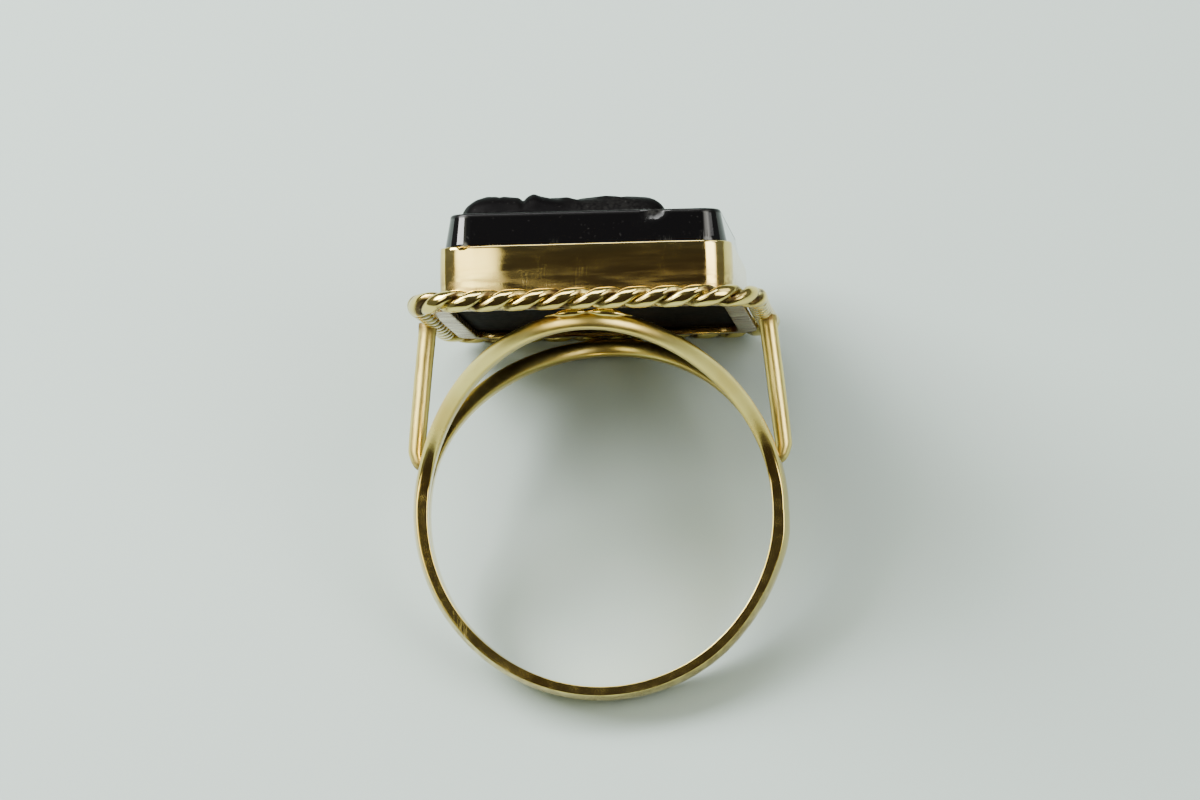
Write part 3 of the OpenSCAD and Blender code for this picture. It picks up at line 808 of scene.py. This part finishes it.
def stone_back():
    """The stone's unpolished back: dull brown-black, with old polish residue in patches."""
    material, tree, shader, place, parts = started("onyx_back")
    clouds = placed(tree, CLOUDS, place, Scale=500.0)
    base = blend_colour(tree, ramp(tree, clouds.outputs["Patches"], 0.35, 0.7),
                        (0.0025, 0.0015, 0.0012, 1), (0.009, 0.0045, 0.0025, 1))
    tree.links.new(base, shader.inputs["Base Color"])
    shader.inputs["Specular IOR Level"].default_value = 0.02
    tree.links.new(math_node(tree, "ADD", math_node(tree, "MULTIPLY", clouds.outputs["Fine"], 0.3), 0.55),
                   shader.inputs["Roughness"])
    bump = add(tree, "ShaderNodeBump", values={"Strength": 0.5, "Distance": 0.00002})
    tree.links.new(clouds.outputs["Fine"], bump.inputs["Height"])
    tree.links.new(bump.outputs[0], shader.inputs["Normal"])
    return material


# Name, colour, dark crease colour for painted shade and grime, roughness, share of scratches and how the
# haze is drawn out
loop_gold = gold("yellow_gold_band", (0.80, 0.65, 0.21), (0.10, 0.055, 0.02), 0.11, 0.6)
wall_gold = gold("yellow_gold_wall", (0.86, 0.68, 0.24), (0.13, 0.05, 0.02), 0.07, 0.35, (0.22, 2.0, 2.0))
wire_gold = gold("yellow_gold_wire", (0.80, 0.66, 0.22), (0.07, 0.04, 0.015), 0.10, 0.4)
onyx, onyx_back = black_stone(), stone_back()

for piece, node, slot, finishes in (
    (finger_loop, "shank", "yellow_gold", (loop_gold,)),
    (bezel, "bezel", "yellow_gold", (wall_gold,)),
    (rope, "rope_border", "yellow_gold", (wire_gold,)),
    (stone, "cameo", "black_stone", (onyx, onyx_back)),
):
    for finish in finishes:
        piece.data.materials.append(finish)
    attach(piece, "root")
    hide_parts(node)


# ---- floor, light and camera ----
PAPER = (0.375, 0.45, 0.428, 1)
AIM = (0, 0.004, 0)
WARM_WHITE, WHITE = (1.0, 0.99, 0.97), (1.0, 1.0, 1.0)
CAMERA_PLACE = (22.80, -176.673, 305.631)
CAMERA_TURN = (30.9545, 3.8451, 0.7501)


def floor():
    bm = bmesh.new()
    bmesh.ops.create_grid(bm, x_segments=8, y_segments=8, size=0.6)
    bmesh.ops.translate(bm, verts=bm.verts, vec=(0, 0, cad_box[0][2]))
    mesh = bpy.data.meshes.new("floor")
    bm.to_mesh(mesh)
    bm.free()
    obj = bpy.data.objects.new("floor", mesh)
    bpy.context.scene.collection.objects.link(obj)
    material = bpy.data.materials.new("pale_paper")
    material.use_nodes = True
    shader = material.node_tree.nodes["Principled BSDF"]
    shader.inputs["Base Color"].default_value = PAPER
    shader.inputs["Roughness"].default_value = 0.9
    shader.inputs["Specular IOR Level"].default_value = 0.1
    mesh.materials.append(material)


def area_light(name, place, width, height, power, colour):
    data = bpy.data.lights.new(name, "AREA")
    data.shape = "RECTANGLE"
    data.size, data.size_y = width, height
    data.energy = power
    data.color = colour
    obj = bpy.data.objects.new(name, data)
    obj.location = place
    way = Vector(AIM) - Vector(place)
    obj.rotation_euler = way.to_track_quat("-Z", "Y").to_euler()
    bpy.context.scene.collection.objects.link(obj)


floor()
area_light("left_box", (-0.19, 0.09, 0.20), width=0.17, height=0.14, power=2.1, colour=WARM_WHITE)
area_light("right_box", (0.24, 0.16, 0.26), width=0.24, height=0.18, power=0.3, colour=WARM_WHITE)
area_light("back_box", (-0.07, 0.16, 0.32), width=0.34, height=0.14, power=1.3, colour=WHITE)

# Pale walls of the room: the way to each, how wide it is, its strength and its share of blue
GLOWS = (((-0.52, -0.30, 0.80), 0.925, 5.2, 0.74), ((0.62, -0.25, 0.75), 0.90, 8.0, 0.90))


def soft_room():
    """A dim room, dark above the ring's finger hole and with a pale wall at each side of that."""
    world = bpy.data.worlds.new("soft_room")
    world.use_nodes = True
    tree = world.node_tree
    way = add(tree, "ShaderNodeTexCoord").outputs["Generated"]

    def towards(aim):
        near = add(tree, "ShaderNodeVectorMath", operation="DOT_PRODUCT")
        near.inputs[1].default_value = Vector(aim).normalized()
        tree.links.new(way, near.inputs[0])
        return near.outputs["Value"]

    colour = (0.16, 0.17, 0.165, 1)
    for aim, reach, glow, blue in GLOWS:
        colour = blend_colour(tree, ramp(tree, towards(aim), reach, 0.98), colour,
                              (glow, 0.98 * glow, blue * glow, 1))
    wide = math_node(tree, "POWER", math_node(tree, "ABSOLUTE", towards((0.99, 0.07, -0.09))), 2.0)
    high = math_node(tree, "POWER", math_node(tree, "ABSOLUTE", towards((0.0, 0.78, 0.62))), 2.0)
    oval = math_node(tree, "ADD", math_node(tree, "MULTIPLY", wide, 1 / 0.34 ** 2),
                     math_node(tree, "MULTIPLY", high, 1 / 0.77 ** 2))
    dark = math_node(tree, "SUBTRACT", 1.0, ramp(tree, oval, 0.80, 1.25))
    dark = math_node(tree, "MULTIPLY", dark, ramp(tree, towards((0.12, -0.62, 0.77)), 0.3, 0.5))
    dark = math_node(tree, "MAXIMUM", dark, ramp(tree, towards((0.10, -0.97, 0.25)), 0.55, 0.72))
    tones = blend_colour(tree, ramp(tree, towards((0.0, -1.0, 0.0)), 0.15, 0.5),
                         (0.050, 0.052, 0.056, 1), (0.050, 0.040, 0.038, 1))
    tree.links.new(blend_colour(tree, dark, colour, tones), tree.nodes["Background"].inputs["Color"])
    bpy.context.scene.world = world


soft_room()

camera_data = bpy.data.cameras.new("camera")
camera_data.lens = 210.0
camera_data.sensor_width = 36.0
camera_data.clip_start = 0.01
camera = bpy.data.objects.new("camera", camera_data)
camera.location = Vector(CAMERA_PLACE) * 0.001
camera.rotation_euler = Euler([math.radians(a) for a in CAMERA_TURN], "XYZ")
bpy.context.scene.collection.objects.link(camera)
bpy.context.scene.camera = camera
